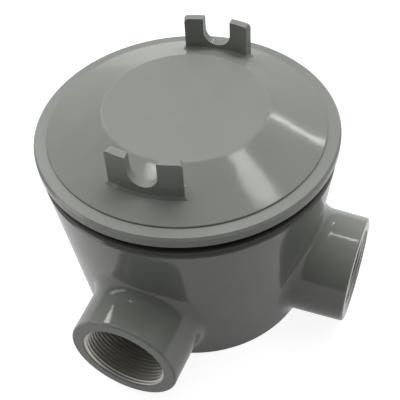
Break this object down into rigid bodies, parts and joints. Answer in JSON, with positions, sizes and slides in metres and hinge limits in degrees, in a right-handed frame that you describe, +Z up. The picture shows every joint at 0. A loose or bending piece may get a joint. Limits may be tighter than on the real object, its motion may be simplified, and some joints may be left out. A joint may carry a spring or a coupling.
{
  "type": "explosion-proof electrical box",
  "caption": "Round cast conduit box with a screwed lid, notched lugs, threaded hubs at a right angle, terminal strip and earth clamps.",
  "frame": {"origin": "centre of the flat base", "axes": "+Z up along the cover's thread, front hub along -Y, side hub along +X"},
  "size_m": [0.125, 0.1294, 0.0987],
  "materials": {
    "grey_casting": "satin grey powder coat on cast aluminium",
    "nitrile_rubber": "matte",
    "black_steel": "black oxide",
    "terminal_moulding": "matte moulded",
    "brass": "bright",
    "zinc_steel": "zinc plated"
  },
  "bodies": {
    "housing": {"housing": "grey_casting", "terminal_base": "terminal_moulding", "terminal_bar_1": "brass", "terminal_bar_2": "brass", "terminal_bar_3": "brass", "base_fixing_screws": "zinc_steel", "base_fixing_washers": "zinc_steel"},
    "seal": {"cover_seal": "nitrile_rubber"},
    "cover": {"cover": "grey_casting"},
    "lock_screw": {"cover_lock_screw": "black_steel"},
    "terminal_1_clamp": {"terminal_clamp_1": "brass"},
    "terminal_1_screw": {"terminal_screw_1": "zinc_steel"},
    "terminal_2_clamp": {"terminal_clamp_2": "brass"},
    "terminal_2_screw": {"terminal_screw_2": "zinc_steel"},
    "terminal_3_clamp": {"terminal_clamp_3": "brass"},
    "terminal_3_screw": {"terminal_screw_3": "zinc_steel"},
    "terminal_4_clamp": {"terminal_clamp_4": "brass"},
    "terminal_4_screw": {"terminal_screw_4": "zinc_steel"},
    "terminal_5_clamp": {"terminal_clamp_5": "brass"},
    "terminal_5_screw": {"terminal_screw_5": "zinc_steel"},
    "terminal_6_clamp": {"terminal_clamp_6": "brass"},
    "terminal_6_screw": {"terminal_screw_6": "zinc_steel"},
    "inner_earth_clamp": {"inner_earth_clamp": "zinc_steel", "inner_earth_spring_washer": "zinc_steel"},
    "inner_earth_screw": {"inner_earth_screw": "zinc_steel"},
    "outer_earth_clamp": {"outer_earth_clamp": "zinc_steel", "outer_earth_spring_washer": "zinc_steel"},
    "outer_earth_screw": {"outer_earth_screw": "zinc_steel"}
  },
  "joints": [
    {"name": "cover_rise", "type": "slide", "parent": "housing", "child": "seal", "axis": [0, 0, 1], "range_m": [0, 0.01301]},
    {"name": "cover_turn", "type": "hinge", "parent": "seal", "child": "cover", "pos_m": [0, 0, 0.0727], "axis": [0, 0, 1], "range_deg": [0, 2340]},
    {"name": "lock_screw_travel", "type": "slide", "parent": "housing", "child": "lock_screw", "axis": [-1, 0, 0], "range_m": [0, 0.003]},
    {"name": "terminal_1_clamp_rise", "type": "slide", "parent": "housing", "child": "terminal_1_clamp", "axis": [0, 0, 1], "range_m": [0, 0.00245]},
    {"name": "terminal_1_screw_turn", "type": "hinge", "parent": "terminal_1_clamp", "child": "terminal_1_screw", "pos_m": [-0.00905, -0.00933, 0.0206], "axis": [0, 0, 1], "range_deg": [0, 1261]},
    {"name": "terminal_2_clamp_rise", "type": "slide", "parent": "housing", "child": "terminal_2_clamp", "axis": [0, 0, 1], "range_m": [0, 0.00245]},
    {"name": "terminal_2_screw_turn", "type": "hinge", "parent": "terminal_2_clamp", "child": "terminal_2_screw", "pos_m": [-0.01782, -0.00057, 0.0206], "axis": [0, 0, 1], "range_deg": [0, 1261]},
    {"name": "terminal_3_clamp_rise", "type": "slide", "parent": "housing", "child": "terminal_3_clamp", "axis": [0, 0, 1], "range_m": [0, 0.00245]},
    {"name": "terminal_3_screw_turn", "type": "hinge", "parent": "terminal_3_clamp", "child": "terminal_3_screw", "pos_m": [0.00014, -0.00014, 0.0206], "axis": [0, 0, 1], "range_deg": [0, 1261]},
    {"name": "terminal_4_clamp_rise", "type": "slide", "parent": "housing", "child": "terminal_4_clamp", "axis": [0, 0, 1], "range_m": [0, 0.00245]},
    {"name": "terminal_4_screw_turn", "type": "hinge", "parent": "terminal_4_clamp", "child": "terminal_4_screw", "pos_m": [-0.00863, 0.00863, 0.0206], "axis": [0, 0, 1], "range_deg": [0, 1261]},
    {"name": "terminal_5_clamp_rise", "type": "slide", "parent": "housing", "child": "terminal_5_clamp", "axis": [0, 0, 1], "range_m": [0, 0.00245]},
    {"name": "terminal_5_screw_turn", "type": "hinge", "parent": "terminal_5_clamp", "child": "terminal_5_screw", "pos_m": [0.00933, 0.00905, 0.0206], "axis": [0, 0, 1], "range_deg": [0, 1261]},
    {"name": "terminal_6_clamp_rise", "type": "slide", "parent": "housing", "child": "terminal_6_clamp", "axis": [0, 0, 1], "range_m": [0, 0.00245]},
    {"name": "terminal_6_screw_turn", "type": "hinge", "parent": "terminal_6_clamp", "child": "terminal_6_screw", "pos_m": [0.00057, 0.01782, 0.0206], "axis": [0, 0, 1], "range_deg": [0, 1261]},
    {"name": "inner_earth_clamp_rise", "type": "slide", "parent": "housing", "child": "inner_earth_clamp", "axis": [0, 0, 1], "range_m": [0, 0.0024]},
    {"name": "inner_earth_screw_turn", "type": "hinge", "parent": "inner_earth_clamp", "child": "inner_earth_screw", "pos_m": [0.02335, -0.02335, 0.012], "axis": [0, 0, 1], "range_deg": [0, 1081]},
    {"name": "outer_earth_clamp_rise", "type": "slide", "parent": "housing", "child": "outer_earth_clamp", "axis": [0, 1, 0], "range_m": [0, 0.0024]},
    {"name": "outer_earth_screw_turn", "type": "hinge", "parent": "outer_earth_clamp", "child": "outer_earth_screw", "pos_m": [0, 0.05413, 0.017], "axis": [0, 1, 0], "range_deg": [0, 1081]}
  ],
  "couplings": [
    {"joint": "cover_rise", "follows": "cover_turn", "m_per_rad": 0.00031831},
    {"joint": "terminal_1_screw_turn", "follows": "terminal_1_clamp_rise", "rad_per_m": 8976},
    {"joint": "terminal_2_screw_turn", "follows": "terminal_2_clamp_rise", "rad_per_m": 8976},
    {"joint": "terminal_3_screw_turn", "follows": "terminal_3_clamp_rise", "rad_per_m": 8976},
    {"joint": "terminal_4_screw_turn", "follows": "terminal_4_clamp_rise", "rad_per_m": 8976},
    {"joint": "terminal_5_screw_turn", "follows": "terminal_5_clamp_rise", "rad_per_m": 8976},
    {"joint": "terminal_6_screw_turn", "follows": "terminal_6_clamp_rise", "rad_per_m": 8976},
    {"joint": "inner_earth_screw_turn", "follows": "inner_earth_clamp_rise", "rad_per_m": 7854},
    {"joint": "outer_earth_screw_turn", "follows": "outer_earth_clamp_rise", "rad_per_m": 7854}
  ]
}
